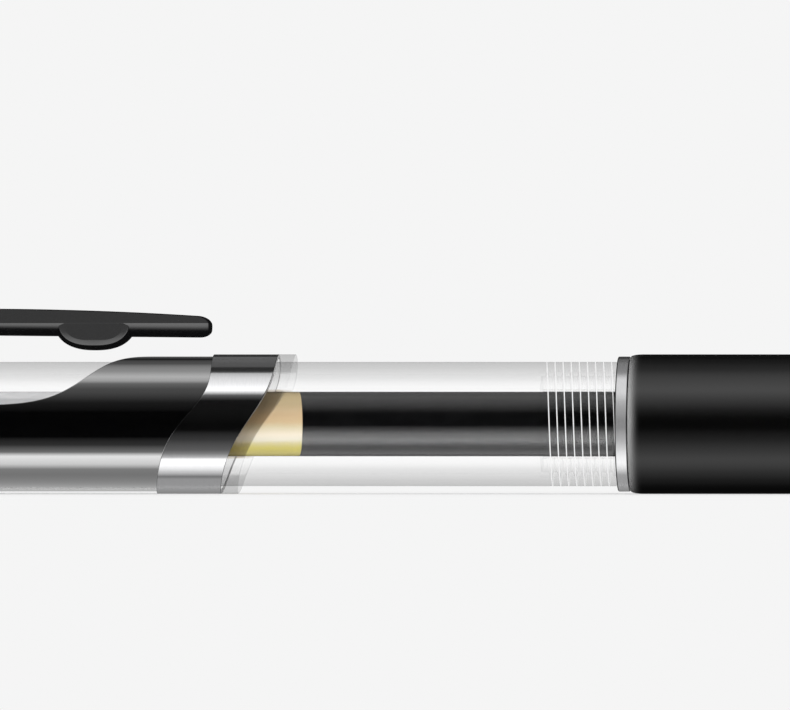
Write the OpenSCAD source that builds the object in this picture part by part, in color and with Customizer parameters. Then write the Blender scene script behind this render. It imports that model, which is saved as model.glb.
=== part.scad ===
// Retractable sign pen: clear barrel, swept window shell, oblique band, rubber grip.
// Millimetres. X runs along the pen towards the writing tip, Z points at the clip,
// and the origin lies on the axis at the middle of the grip.

/* [Grip section] */
// Length of the rubber grip sleeve
grip_len = 38; // [30:1:44]
// Outside diameter of the grip sleeve
grip_d = 12.9; // [12.6:0.1:14]
// Wall of the grip sleeve
grip_wall = 1.1; // [0.8:0.05:1.4]
// Rounding of the grip sleeve's ends
grip_edge = 0.7; // [0.3:0.05:0.75]
// Length of the trim ring behind the grip
ring_len = 1.6; // [1:0.1:3]
// Outside diameter of the trim ring
ring_d = 12.4; // [12:0.1:12.8]
// Rounding of the trim ring's rear edge
ring_edge = 0.35; // [0.1:0.05:0.5]
// Length of the nose cone in front of the grip
nose_len = 12.9; // [12.5:0.1:16]
// Diameter of the nose cone where it meets the grip
nose_rear_d = 12.4; // [11.8:0.1:12.8]
// Diameter of the nose cone at its tip
nose_tip_d = 3.5; // [3.4:0.1:4.4]
// Hole in the nose cone that the writing tip passes
nose_hole_d = 3.0; // [2.8:0.05:3.1]
// Length of the core's front spigot inside the nose cone
nose_spigot_len = 4; // [3:0.1:4.6]
// Diameter of the core's front spigot
nose_spigot_d = 9.2; // [8.4:0.1:9.6]

/* [Clear barrel] */
// Outside diameter of the clear barrel
barrel_d = 11.5; // [11.2:0.05:11.9]
// Wall of the clear barrel
barrel_wall = 1.12; // [1:0.02:1.3]
// Length of the clear barrel
barrel_len = 76; // [74:1:82]

/* [Thread] */
// Advance of the grip section in one turn
thread_pitch = 0.75; // [0.7:0.01:0.9]
// Turns of thread on the grip section
thread_turns = 8; // [5:1:10]
// Height of the thread's ridges
thread_height = 0.35; // [0.3:0.01:0.4]
// Width of a ridge at its foot
thread_foot = 0.36; // [0.3:0.01:0.42]
// Width of a ridge at its crest
thread_crest = 0.16; // [0.1:0.01:0.2]
// Room between the two threads, across the radius
thread_gap = 0.18; // [0.15:0.01:0.25]

/* [Oblique band] */
// Length of the band along the barrel
band_len = 6.03; // [4:0.01:8]
// Wall of the band
band_wall = 0.4; // [0.3:0.05:0.6]
// Wall of the clear carrier under the band
lip_wall = 0.2; // [0.15:0.05:0.4]
// Width of the clear lip left bare in front of the band
lip_len = 1.73; // [0.8:0.01:3]
// Distance from the barrel's front end back to the top of the band
band_setback = 31.0; // [28:0.1:34]
// How far the band runs back from the top of the barrel to the bottom
band_sweep = 5.5; // [2:0.1:7]

/* [Rear shell] */
// Wall of the shell
shell_wall = 0.45; // [0.35:0.05:0.6]
// Length of the window in the shell
window_len = 27.8; // [24:0.1:29]
// Distance from the band's top to the middle of the window
window_setback = 26.6; // [26:0.1:28]
// Angle from the top of the shell down to the window's lower edge
window_angle = 74; // [50:1:80]
// Length over which the window's edge eases in and out
window_ease = 1.71; // [1:0.01:1.9]

/* [Rear cap] */
// Length of the cap
cap_len = 7.5; // [7:0.1:9]
// Rounding of the cap's rear edge
cap_edge = 2; // [1:0.1:2.2]
// Wall of the cap behind the guide sleeve
cap_floor = 3.3; // [2.4:0.1:3.4]

/* [Clip] */
// Width of the clip
clip_w = 4.2; // [3.4:0.1:5]
// Height of the clip's beam at its crown
clip_h = 2.4; // [2:0.05:2.8]
// Gap from the barrel to the underside of the clip at its tip
clip_gap = 2.32; // [2.1:0.02:2.8]
// Distance from the shell's rear end forward to the clip's tip
clip_reach = 39; // [32:0.5:42]
// Radius of the half moon pad under the clip
pad_r = 4.4; // [3.6:0.1:5]
// Gap from the barrel to the pad
pad_gap = 1.15; // [0.9:0.05:1.4]
// Bevel round the pad's edge
pad_bevel = 0.6; // [0.2:0.05:0.8]
// Distance from the clip's tip to the middle of the pad
pad_setback = 10.9; // [8:0.1:14]

/* [Push mechanism] */
// Diameter of the push button
button_d = 7; // [6.6:0.1:7.1]
// Wall of the push button
button_wall = 0.55; // [0.4:0.05:0.7]
// Height of the button behind the cap when it is out
button_out = 7; // [6.8:0.1:8]
// Full travel of the button
press_travel = 6.5; // [6:0.1:6.6]
// Travel from retracted to latched out
latch_travel = 5.5; // [5:0.1:5.8]
// Diameter of the rotor and the plunger
rotor_d = 6.8; // [6.75:0.01:6.85]
// Length of the rotor
rotor_len = 7.3; // [7:0.1:8]
// Length of the rotor's splines
spline_len = 3.5; // [2.5:0.1:4]
// Width of a spline
spline_w = 2; // [1.4:0.1:2.2]
// Height of a spline
spline_h = 0.45; // [0.35:0.01:0.5]
// Depth of the index teeth
tooth_depth = 1.2; // [0.8:0.05:1.4]
// Length of the ribs inside the guide sleeve
rib_len = 9.4; // [8.5:0.1:9.6]

/* [Refill] */
// Diameter of the ink tube
refill_d = 6; // [5.6:0.05:6.1]
// Wall of the ink tube
refill_wall = 0.65; // [0.5:0.05:0.8]
// Length of the refill from its tail to the ball
refill_len = 111; // [110:0.1:112]
// How far the ball sits inside the nose cone when retracted
tip_setback = 3.2; // [3:0.1:3.5]
// Length of ink ahead of the follower
ink_len = 52.4; // [20:0.1:58]
// Length of the follower behind the ink
follower_len = 12; // [6:0.5:16]
// Tilt of the follower's front face
follower_tilt = 13; // [0:1:20]
// Length of the vented plug in the tail
plug_len = 2.7; // [2:0.1:4]
// Diameter of the writing tip's metal tube
tip_d = 2.3; // [2.1:0.05:2.4]
// Length of the writing tip's metal tube
tip_len = 16.8; // [16.2:0.1:18]
// Diameter of the ball
ball_d = 0.7; // [0.5:0.05:0.8]
// Diameter of the holder's snout
snout_d = 3.8; // [3.4:0.1:3.9]

/* [Spring] */
// Diameter of the spring's wire
wire_d = 0.4; // [0.3:0.05:0.45]
// Diameter of the spring through the middle of its wire
spring_d = 4.9; // [4.7:0.05:5.1]
// Number of curls
spring_curls = 10; // [6:1:11]

/* [Hidden] */
$fn = 96;

// Clearances and the overrun that every cut shares
fit_gap = 0.05;
face_gap = 0.05;
seat_gap = 0.15;
run_gap = 0.1;
overrun = 0.5;

// Radii from the axis outwards
refill_r = refill_d / 2;
refill_bore_r = refill_r - refill_wall;
ink_r = refill_bore_r - fit_gap;
core_bore_gap = 0.2;
core_bore_r = refill_r + core_bore_gap;
barrel_r = barrel_d / 2;
bore_r = barrel_r - barrel_wall;
spigot_r = bore_r - thread_gap;
crest_r = spigot_r + thread_height;
groove_r = crest_r + thread_gap;
ring_bore_r = crest_r + run_gap;
grip_r = grip_d / 2;
core_r = grip_r - grip_wall - fit_gap;
sleeve_r = barrel_r + fit_gap;
shell_r = sleeve_r + shell_wall;
lip_r = sleeve_r + lip_wall;
band_bore_r = lip_r + fit_gap;
band_r = band_bore_r + band_wall;
button_r = button_d / 2;
rotor_r = rotor_d / 2;
spline_r = rotor_r + spline_h;
rib_r = rotor_r + run_gap;
guide_bore_r = spline_r + run_gap;
guide_r = bore_r - fit_gap;

// Stations along the pen, from the grip forwards
grip_rear_x = -grip_len / 2;
grip_front_x = grip_len / 2;
nose_rear_x = grip_front_x + run_gap;
nose_tip_x = nose_rear_x + nose_len;
spigot_front_x = grip_front_x + nose_spigot_len;
nose_step_x = spigot_front_x + run_gap;
spring_chamber = 1.9;
spring_seat_x = nose_step_x + spring_chamber;
nose_flat = 0.4;
nose_power = 1.35;
nose_steps = 14;

// Refill, from the ball back
ball_r = ball_d / 2;
ball_x = nose_tip_x - tip_setback - ball_r;
tip_r = tip_d / 2;
ball_play = 0.03;
ball_show = 0.15;
tip_wall = 0.13;
tip_front_x = ball_x + ball_r - ball_show;
tip_rear_x = tip_front_x - tip_len;
tip_taper = 4.8;
tip_bore_r = 0.5;
feed_r = 0.2;
feed_len = 0.8;
tail_x = ball_x + ball_r - refill_len;
shoulder_len = 1.5;
snout_len = 5.5;
snout_r = snout_d / 2;
tip_grip = 3.6;
snout_front_x = tip_rear_x + tip_grip;
flange_front_x = snout_front_x - snout_len;
flange_rear_x = flange_front_x - shoulder_len;
tube_front_x = flange_rear_x - face_gap;
holder_plug_len = 5.5;
ink_front_x = flange_rear_x - holder_plug_len - face_gap;
ink_rear_x = ink_front_x - ink_len;
follower_gap = 0.06;
follower_rear_x = max(ink_rear_x - follower_len, tail_x + plug_len + follower_gap);
vent_r = 0.5;

// Stations from the grip back to the tail of the barrel
ring_front_x = grip_rear_x - face_gap;
ring_rear_x = ring_front_x - ring_len;
barrel_front_x = ring_rear_x - seat_gap;
barrel_rear_x = barrel_front_x - barrel_len;
thread_lead_in = 0.3;
thread_front_x = barrel_front_x - thread_lead_in;
thread_rear_x = thread_front_x - thread_turns * thread_pitch;
spigot_rear_x = thread_rear_x - thread_lead_in;
thread_steps = 24;
thread_run_out = 0.5;
band_top_x = barrel_front_x - band_setback;
band_bottom_x = band_top_x - band_sweep;
window_x = band_top_x - window_setback;
shell_rear_x = barrel_rear_x - seat_gap;
cap_front_x = shell_rear_x - face_gap;

// Sweep of the band's two edges round the barrel: the angle from the top where each edge is
// half way back, and how softly it eases there at the top and at the bottom, in degrees
front_sweep = [91.5, 13, 24];
rear_sweep = [90, 3, 28];
sweep_step = 7.5;

// Half way point of the window's ends, as a share of its half length
window_turn_share = 0.692;
window_steps = 28;

// Push mechanism, from the refill's tail back to the ribs
cup_depth = 1.5;
cup_gap = 0.1;
cup_floor_x = tail_x - face_gap;
rotor_front_x = cup_floor_x + cup_depth;
rotor_rear_x = rotor_front_x - rotor_len;
hub_r = 1.8;
hub_depth = 3.5;
pin_gap = 0.2;
pin_len = 1.6;
tooth_count = 8;
tooth_angle = 360 / tooth_count;
tooth_half_w = rotor_r * tan(tooth_angle / 2);
tooth_mesh_share = 2 - 2 * sin(tooth_angle / 4) / tan(tooth_angle / 2);
plunger_front_x = rotor_rear_x + tooth_mesh_share * tooth_depth - run_gap;
rib_front_x = rotor_rear_x + latch_travel - run_gap;
rib_rear_x = rib_front_x - rib_len;
rib_notch = 0.6;
lug_len = 2;
lug_lead = 0.5;
lug_rear_x = rib_rear_x + lug_lead;
flange_len = 1;
press_room = 1.5;

// Cap: as long as it is named, or longer where the button's stroke behind the ribs needs it
cap_floor_x = min(cap_front_x - cap_len + cap_floor,
    rib_rear_x - press_room - press_travel - flange_len - face_gap - run_gap);
cap_rear_x = cap_floor_x - cap_floor;

// Button, guide sleeve and plunger, from the cap's floor forwards
guide_nose = 1.6;
guide_front_x = rib_front_x + guide_nose;
guide_rear_x = cap_floor_x + run_gap;
button_flange_rear_x = guide_rear_x + face_gap;
button_front_x = button_flange_rear_x + flange_len;
button_rear_x = cap_rear_x - button_out;
button_top = 0.9;
button_dome = 1.1;
plunger_rear_x = button_front_x + run_gap;
stem_rear_x = button_rear_x + button_top + run_gap;

// Clip
clip_crown = 22;
clip_rise = 0.22;
clip_round = 1.36;
clip_tip_drop = 0.74;
clip_root_lift = 0.36;
clip_tip_edge = 0.85;
clip_heel = 0.8;
clip_heel_edge = 2.2;
clip_fillet = 1.3;
clip_steps = 12;
clip_tip_x = shell_rear_x + clip_reach;
clip_crown_x = clip_tip_x - clip_crown;
clip_low_z = barrel_r + clip_gap;
clip_top_z = clip_low_z + clip_h + clip_rise;
clip_flank_z = clip_low_z + clip_round;
tongue_len = 3.4;
tongue_w = 3.2;
tongue_gap = 0.25;
tongue_foot_gap = 0.35;
tongue_inset = 1.1;
tongue_front_x = cap_front_x - tongue_inset;
tongue_rear_x = tongue_front_x - tongue_len;
tongue_foot_z = guide_r + tongue_foot_gap;
clip_seat_z = shell_r + tongue_foot_gap;
pad_x = clip_tip_x - pad_setback;
pad_z = barrel_r + pad_gap + pad_r;

// Room that a window, band or clip outline needs past the widest part
reach = grip_d + clip_h;

// Middle line of the spring: straight ends along the pen, joined by one right-handed helix
spring_rear_x = flange_front_x + face_gap;
spring_front_x = spring_seat_x - face_gap;
spring_r = spring_d / 2;
curl_rings = 8;
curl_rise = (spring_front_x - spring_rear_x - 2 * wire_d) / spring_curls;
spring_line = concat(
    [[spring_rear_x, spring_r, 0]],
    [for (i = [0:spring_curls * curl_rings]) let(a = 360 * i / curl_rings)
        [spring_rear_x + wire_d + curl_rise * i / curl_rings, spring_r * cos(a), spring_r * sin(a)]],
    [[spring_front_x, spring_r, 0]]);

// Least room between one part of the spring's wire and another
spring_room = min([for (i = [0:len(spring_line) - 1], j = [0:len(spring_line) - 1])
    if (j > i + curl_rings / 2) norm(spring_line[i] - spring_line[j])]) - wire_d;
echo(least_spring_gap = spring_room);

function unit(v) = v / norm(v);

// A round rod between two stations
module rod(x0, x1, r) {
    translate([x0, 0, 0]) rotate([0, 90, 0]) cylinder(h = x1 - x0, r = r);
}

// A cone between two stations
module taper(x0, x1, r0, r1) {
    translate([x0, 0, 0]) rotate([0, 90, 0]) cylinder(h = x1 - x0, r1 = r0, r2 = r1);
}

// A tube between two stations
module pipe(x0, x1, r_out, r_in) {
    difference() {
        rod(x0, x1, r_out);
        rod(x0 - overrun, x1 + overrun, r_in);
    }
}

// A turned solid from points of station and radius
module turned(points) {
    rotate([0, 90, 0]) rotate_extrude() polygon([for (p = points) [p[1], p[0]]]);
}

// A block whose outline is seen from the side, across the full width given
module side_block(points, width) {
    rotate([90, 0, 0]) linear_extrude(height = width, center = true) polygon(points);
}

// Points of an arc round a centre
function arc(c, r, a0, a1, n) =
    [for (i = [0:n]) let(a = a0 + (a1 - a0) * i / n) [c[0] + r * cos(a), c[1] + r * sin(a)]];

// Triangles that close a tube of rings with the given number of corners
function tube_faces(rings, corners) = concat(
    [for (i = [0:rings - 2], j = [0:corners - 1])
        let(a = i * corners + j, b = i * corners + (j + 1) % corners)
        each [[a, b, b + corners], [a, b + corners, a + corners]]],
    [for (j = [1:corners - 2]) [0, j + 1, j]],
    [for (j = [1:corners - 2]) let(a = (rings - 1) * corners) [a, a + j, a + j + 1]]);

// A helical ridge: its foot and crest lie at two radii and it winds right-handed from x0,
// and it points outwards or inwards as the crest lies outside or inside the foot
module ridge(x0, turns, foot_r, top_r, foot_w, top_w) {
    rings = round(turns * thread_steps) + 1;
    way = sign(top_r - foot_r);
    points = [for (i = [0:rings - 1])
        let(a = 360 * i / thread_steps, x = x0 + thread_pitch * i / thread_steps)
        each [for (c = [[-foot_w, foot_r], [-top_w, top_r], [top_w, top_r], [foot_w, foot_r]])
            [x + way * c[0] / 2, c[1] * cos(a), c[1] * sin(a)]]];
    polyhedron(points = points, faces = tube_faces(rings, 4));
}

// How far along its sweep an edge of the band lies at an angle from the top
function sweep_share(angle, sweep) =
    1 / (1 + exp((angle - sweep[0]) / (sweep[1] + (sweep[2] - sweep[1]) * angle / 180)));

// The band's edge seen from the side, moved along the pen by a shift
function band_edge(sweep, shift) = [for (a = [0:sweep_step:180])
    [band_bottom_x + band_sweep * sweep_share(a, sweep) + shift, band_r * cos(a)]];

// Everything behind one of those edges, back to a station
module behind_edge(sweep, shift, back_x) {
    edge = band_edge(sweep, shift);
    side_block(concat([[back_x, reach], [edge[0][0], reach]], edge,
        [[edge[len(edge) - 1][0], -reach], [back_x, -reach]]), reach * 2);
}

// Angle from the top down to the window's edge, at a distance from its middle
function ease(d) = 1 / (1 + exp((d - window_turn_share * window_len / 2) / window_ease));
function window_edge(d) =
    window_angle * (ease(d) - ease(window_len / 2)) / (ease(0) - ease(window_len / 2));

module window_cut() {
    edge = [for (i = [-window_steps:window_steps]) let(d = window_len / 2 * i / window_steps)
        [window_x + d, shell_r * cos(window_edge(abs(d)))]];
    side_block(concat([[window_x - window_len / 2, reach]], edge,
        [[window_x + window_len / 2, reach]]), reach * 2);
}

module clear_barrel() {
    color("white", 0.3) union() {
        difference() {
            rod(barrel_rear_x, barrel_front_x, barrel_r);
            rod(barrel_rear_x - overrun, barrel_front_x, bore_r);
            rod(spigot_rear_x - thread_gap, barrel_front_x + overrun, groove_r);
        }
        ridge(thread_rear_x + thread_pitch / 2, thread_turns - thread_run_out,
            groove_r + thread_gap, bore_r, thread_foot, thread_crest);
    }
}

module rear_shell() {
    color([0.04, 0.04, 0.045]) difference() {
        intersection() {
            pipe(shell_rear_x, band_top_x, shell_r, sleeve_r);
            behind_edge(rear_sweep, -band_len - face_gap, shell_rear_x - overrun);
        }
        window_cut();
    }
}

module trim_band() {
    color([0.75, 0.76, 0.78]) difference() {
        intersection() {
            pipe(band_bottom_x - band_len - overrun, band_top_x + overrun, band_r, band_bore_r);
            behind_edge(front_sweep, 0, shell_rear_x);
        }
        behind_edge(rear_sweep, -band_len, shell_rear_x);
    }
}

module band_lip() {
    color([0.45, 0.45, 0.46], 0.5) union() {
        difference() {
            intersection() {
                pipe(band_bottom_x - band_len - overrun, band_top_x + lip_len, lip_r, sleeve_r);
                behind_edge(front_sweep, lip_len / 2, shell_rear_x);
            }
            behind_edge(rear_sweep, -band_len, shell_rear_x);
        }
        difference() {
            intersection() {
                pipe(band_bottom_x - overrun, band_top_x + lip_len + overrun, band_r, sleeve_r);
                behind_edge(front_sweep, lip_len, shell_rear_x);
            }
            behind_edge(front_sweep, face_gap, shell_rear_x);
        }
    }
}

module rear_cap() {
    color([0.05, 0.05, 0.055]) difference() {
        turned(concat([[cap_front_x, 0], [cap_front_x, shell_r]],
            arc([cap_rear_x + cap_edge, shell_r - cap_edge], cap_edge, 90, 180, 6),
            [[cap_rear_x, 0]]));
        rod(cap_floor_x, cap_front_x + overrun, guide_r + fit_gap);
        rod(cap_rear_x - overrun, cap_floor_x + overrun, button_r + run_gap);
        translate([tongue_rear_x - tongue_gap, -tongue_w / 2 - run_gap, 0])
            cube([tongue_len + 2 * tongue_gap, tongue_w + 2 * run_gap, reach]);
    }
}

// Two crossed bars along the pen, one pair of opposite splines each
module cross_bars(x0, x1, width, half) {
    for (turn = [0, 90]) rotate([turn, 0, 0])
        translate([x0, -width / 2, -half]) cube([x1 - x0, width, 2 * half]);
}

// One wedge across the pen: its point lies a depth into the piece from the face at x,
// and side says whether that face looks forwards (1) or back (-1)
module wedge(x, depth, half_w, side) {
    flare = overrun * depth / half_w;
    linear_extrude(height = 2 * reach, center = true)
        polygon([[x - side * depth, 0], [x + side * flare, half_w + overrun],
            [x + side * flare, -half_w - overrun]]);
}

// Wedges that cut index notches all round a face
module notches(x, depth, half_w, count, turn, side) {
    for (i = [0:count / 2 - 1]) rotate([turn + 360 / count * i, 0, 0]) wedge(x, depth, half_w, side);
}

module guide_sleeve() {
    color([0.12, 0.12, 0.13]) difference() {
        rod(guide_rear_x, guide_front_x, guide_r);
        rod(guide_rear_x - overrun, rib_rear_x, guide_bore_r);
        rod(rib_rear_x - overrun, guide_front_x + overrun, rib_r);
        rod(rib_front_x, guide_front_x + overrun, guide_bore_r);
        intersection() {
            rod(rib_rear_x - overrun, rib_front_x + overrun, guide_bore_r);
            cross_bars(rib_rear_x - overrun, rib_front_x + overrun,
                spline_w + 2 * run_gap, guide_r);
        }
        intersection() {
            rod(rib_front_x - tooth_depth, rib_front_x + overrun, guide_bore_r);
            notches(rib_front_x, rib_notch, rib_notch * 2, 4, 45, 1);
        }
    }
}

module clip() {
    top = [for (i = [0:clip_steps]) let(x = clip_tip_x - clip_tip_edge
            - (clip_reach - clip_tip_edge) * i / clip_steps, d = (x - clip_crown_x) / clip_crown)
        [x, clip_top_z - clip_tip_drop * d * d]];
    top_end = top[clip_steps];
    heel_x = tongue_rear_x - clip_heel;
    root_z = clip_low_z + clip_root_lift;
    outline = concat(
        arc([clip_tip_x - clip_tip_edge, top[0][1] - clip_tip_edge], clip_tip_edge, 0, 90, 6),
        [for (i = [1:clip_steps]) top[i]],
        arc([heel_x + clip_heel_edge, top_end[1] - clip_heel_edge - clip_rise],
            clip_heel_edge, 90, 180, 6),
        [[heel_x, clip_seat_z], [tongue_rear_x, clip_seat_z], [tongue_rear_x, tongue_foot_z],
            [tongue_front_x, tongue_foot_z], [tongue_front_x, clip_seat_z]],
        arc([tongue_front_x + clip_fillet + clip_rise, root_z - clip_fillet],
            clip_fillet, 180, 90, 6),
        arc([clip_tip_x - clip_tip_edge, clip_low_z + clip_tip_edge], clip_tip_edge, 270, 360, 6));
    color([0.13, 0.13, 0.135]) union() {
        intersection() {
            side_block(outline, clip_w);
            clip_section();
        }
        intersection() {
            translate([pad_x, 0, pad_z]) rotate([90, 0, 0]) rotate_extrude()
                polygon([[0, -clip_w / 2], [pad_r - pad_bevel, -clip_w / 2],
                    [pad_r, pad_bevel - clip_w / 2], [pad_r, clip_w / 2 - pad_bevel],
                    [pad_r - pad_bevel, clip_w / 2], [0, clip_w / 2]]);
            translate([pad_x - pad_r, -clip_w, 0])
                cube([2 * pad_r, 2 * clip_w, clip_flank_z]);
        }
    }
}

// The clip's section: flat flanks over a rounded underside, and the narrower tongue below
module clip_section() {
    translate([clip_tip_x + overrun, 0, 0]) rotate([0, -90, 0])
        linear_extrude(height = clip_reach + cap_len + overrun) union() {
            translate([clip_flank_z, -clip_w / 2]) square([reach, clip_w]);
            for (side = [-1, 1]) translate([clip_flank_z, side * (clip_w / 2 - clip_round)])
                circle(r = clip_round);
            translate([clip_flank_z - clip_round, clip_round - clip_w / 2])
                square([reach, clip_w - 2 * clip_round]);
            translate([tongue_foot_z, -tongue_w / 2])
                square([clip_low_z - tongue_foot_z, tongue_w]);
        }
}

module push_button() {
    color([0.75, 0.76, 0.78]) difference() {
        turned(concat([[button_rear_x, 0]],
            arc([button_rear_x + button_dome, button_r - button_dome], button_dome, 180, 90, 6),
            [[button_flange_rear_x, button_r], [button_flange_rear_x, spline_r],
                [button_front_x, spline_r], [button_front_x, 0]]));
        rod(button_rear_x + button_top, button_front_x + overrun, button_r - button_wall);
    }
}

module thrust_cam() {
    color([0.85, 0.85, 0.83]) union() {
        rod(stem_rear_x, plunger_rear_x + overrun, button_r - button_wall - run_gap);
        difference() {
            union() {
                rod(plunger_rear_x, plunger_front_x, rotor_r);
                intersection() {
                    rod(lug_rear_x, lug_rear_x + lug_len, spline_r);
                    cross_bars(lug_rear_x, lug_rear_x + lug_len, spline_w, guide_r);
                }
            }
            notches(plunger_front_x, tooth_depth, tooth_half_w, tooth_count, 0, 1);
        }
        rod(plunger_rear_x, plunger_front_x + pin_len - tooth_depth, hub_r - pin_gap);
    }
}

module rotor_cam() {
    color([0.9, 0.9, 0.88]) difference() {
        union() {
            rod(rotor_rear_x, rotor_front_x, rotor_r);
            intersection() {
                rod(rotor_rear_x, rotor_rear_x + spline_len, spline_r);
                cross_bars(rotor_rear_x, rotor_rear_x + spline_len, spline_w, guide_r);
            }
        }
        notches(rotor_rear_x, tooth_depth, tooth_half_w, tooth_count, tooth_angle / 2, -1);
        rod(rotor_rear_x - overrun, rotor_rear_x + hub_depth, hub_r);
        rod(cup_floor_x, rotor_front_x + overrun, refill_r + cup_gap);
    }
}

module refill_tube() {
    color("white", 0.4) pipe(tail_x, tube_front_x, refill_r, refill_bore_r);
}

// Everything ahead of the follower's tilted front face
module ahead_of_follower(x) {
    translate([x, 0, 0]) rotate([0, 0, follower_tilt])
        translate([0, -reach, -reach]) cube([refill_len, 2 * reach, 2 * reach]);
}

module ink_column() {
    color([0.05, 0.05, 0.06]) intersection() {
        rod(ink_rear_x - follower_len / 2, ink_front_x, ink_r);
        ahead_of_follower(ink_rear_x);
    }
}

module follower_grease() {
    color([0.93, 0.85, 0.6]) difference() {
        rod(follower_rear_x, ink_rear_x + follower_len / 2, ink_r);
        ahead_of_follower(ink_rear_x - follower_gap);
    }
}

module refill_plug() {
    color("white") pipe(tail_x + face_gap, tail_x + plug_len, ink_r, vent_r);
}

module tip_holder() {
    color([0.9, 0.9, 0.9]) difference() {
        union() {
            rod(flange_rear_x - holder_plug_len, flange_rear_x + overrun, ink_r);
            rod(flange_rear_x, flange_front_x, refill_r);
            rod(flange_front_x - overrun, snout_front_x, snout_r);
        }
        rod(flange_rear_x - holder_plug_len - overrun, tip_rear_x, tip_bore_r);
        rod(tip_rear_x - face_gap, snout_front_x + overrun, tip_r + fit_gap);
    }
}

module writing_tip() {
    front_r = ball_r + tip_wall;
    color([0.8, 0.72, 0.5]) difference() {
        union() {
            rod(tip_rear_x, tip_front_x - tip_taper, tip_r);
            taper(tip_front_x - tip_taper, tip_front_x, tip_r, front_r);
        }
        rod(tip_rear_x - overrun, ball_x - ball_r - feed_len, tip_bore_r);
        rod(tip_rear_x, ball_x, feed_r);
        translate([ball_x, 0, 0]) sphere(r = ball_r + ball_play);
    }
}

module tip_ball() {
    color([0.6, 0.6, 0.62]) translate([ball_x, 0, 0]) sphere(r = ball_r);
}

module spring() {
    last = len(spring_line) - 1;
    sides = 6;
    points = [for (i = [0:last])
        let(p = spring_line[i],
            ahead = i < last ? unit(spring_line[i + 1] - p) : [1, 0, 0],
            back = i > 0 ? unit(p - spring_line[i - 1]) : [1, 0, 0],
            along = unit(ahead + back),
            out = unit([0, p[1], p[2]]),
            side = unit(cross(along, out)),
            up = cross(side, along))
        each [for (k = [0:sides - 1]) p + wire_d / 2 * (cos(360 * k / sides) * up
            + sin(360 * k / sides) * side)]];
    color([0.7, 0.71, 0.73]) polyhedron(points = points, faces = tube_faces(last + 1, sides));
}

module grip_core() {
    color("white", 0.35) union() {
        difference() {
            union() {
                rod(spigot_rear_x, ring_front_x + overrun, spigot_r);
                rod(barrel_front_x, grip_rear_x + overrun, crest_r);
                rod(grip_rear_x, grip_front_x, core_r);
                rod(grip_front_x - overrun, spigot_front_x, nose_spigot_d / 2);
            }
            rod(spigot_rear_x - overrun, spigot_front_x + overrun, core_bore_r);
        }
        ridge(thread_rear_x, thread_turns, spigot_r - thread_gap, crest_r,
            thread_foot + thread_gap / 2, thread_crest);
    }
}

module grip_sleeve() {
    inner = core_r + fit_gap;
    color([0.03, 0.03, 0.03]) turned(concat(
        [[grip_rear_x, inner]],
        arc([grip_rear_x + grip_edge, grip_r - grip_edge], grip_edge, 180, 90, 6),
        arc([grip_front_x - grip_edge, grip_r - grip_edge], grip_edge, 90, 0, 6),
        [[grip_front_x, inner]]));
}

module trim_ring() {
    ring_r = ring_d / 2;
    color([0.75, 0.76, 0.78]) turned(concat(
        [[ring_rear_x, ring_bore_r]],
        arc([ring_rear_x + ring_edge, ring_r - ring_edge], ring_edge, 180, 90, 6),
        [[ring_front_x, ring_r], [ring_front_x, ring_bore_r]]));
}

module nose_cone() {
    rear_r = nose_rear_d / 2;
    front_r = nose_tip_d / 2;
    color([0.75, 0.76, 0.78]) difference() {
        turned(concat([[nose_rear_x, 0], [nose_rear_x, rear_r]],
            [for (i = [0:nose_steps]) let(t = i / nose_steps)
                [nose_rear_x + nose_flat + (nose_len - nose_flat) * t,
                    front_r + (rear_r - front_r) * (1 - pow(t, nose_power))]],
            [[nose_tip_x, 0]]));
        rod(nose_rear_x - overrun, nose_step_x, nose_spigot_d / 2 + fit_gap);
        rod(nose_rear_x, spring_seat_x, core_bore_r);
        rod(nose_rear_x, nose_tip_x + overrun, nose_hole_d / 2);
    }
}

clear_barrel();
rear_shell();
trim_band();
band_lip();
rear_cap();
guide_sleeve();
clip();
push_button();
thrust_cam();
rotor_cam();
refill_tube();
ink_column();
follower_grease();
refill_plug();
tip_holder();
writing_tip();
tip_ball();
spring();
grip_core();
grip_sleeve();
trim_ring();
nose_cone();
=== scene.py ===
import bpy
import bmesh
import numpy as np
from math import pi, radians, cos, sin
from mathutils import Matrix, Vector


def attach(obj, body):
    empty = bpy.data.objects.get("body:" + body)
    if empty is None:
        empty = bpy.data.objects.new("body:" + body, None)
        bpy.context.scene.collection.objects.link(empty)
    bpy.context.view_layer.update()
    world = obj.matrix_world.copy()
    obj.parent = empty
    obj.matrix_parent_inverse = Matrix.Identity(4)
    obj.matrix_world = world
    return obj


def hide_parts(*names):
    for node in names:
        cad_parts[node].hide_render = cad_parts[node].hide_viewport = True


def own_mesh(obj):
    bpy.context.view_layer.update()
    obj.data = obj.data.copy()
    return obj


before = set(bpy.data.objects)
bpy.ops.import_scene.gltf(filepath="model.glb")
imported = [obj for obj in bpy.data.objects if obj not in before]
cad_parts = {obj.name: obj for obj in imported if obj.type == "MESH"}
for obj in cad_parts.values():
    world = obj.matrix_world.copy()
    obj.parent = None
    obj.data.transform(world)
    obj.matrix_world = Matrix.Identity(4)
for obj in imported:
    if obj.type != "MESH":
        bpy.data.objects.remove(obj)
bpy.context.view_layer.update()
print("frame loaded,", len(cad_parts), "nodes")

scene = bpy.context.scene
mm = 0.001


# width is what the picture shows across at the pen's axis, aim is the point at its centre; in
# millimetres, but azimuth in degrees and clip in metres
cameraValues = {"azimuth": 4.0, "distance": 2400.0, "width": 73.15, "aim": (-41.04, 0.0, 6.39),
                "sensor": 36.0, "clip": (0.1, 20.0)}


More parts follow.
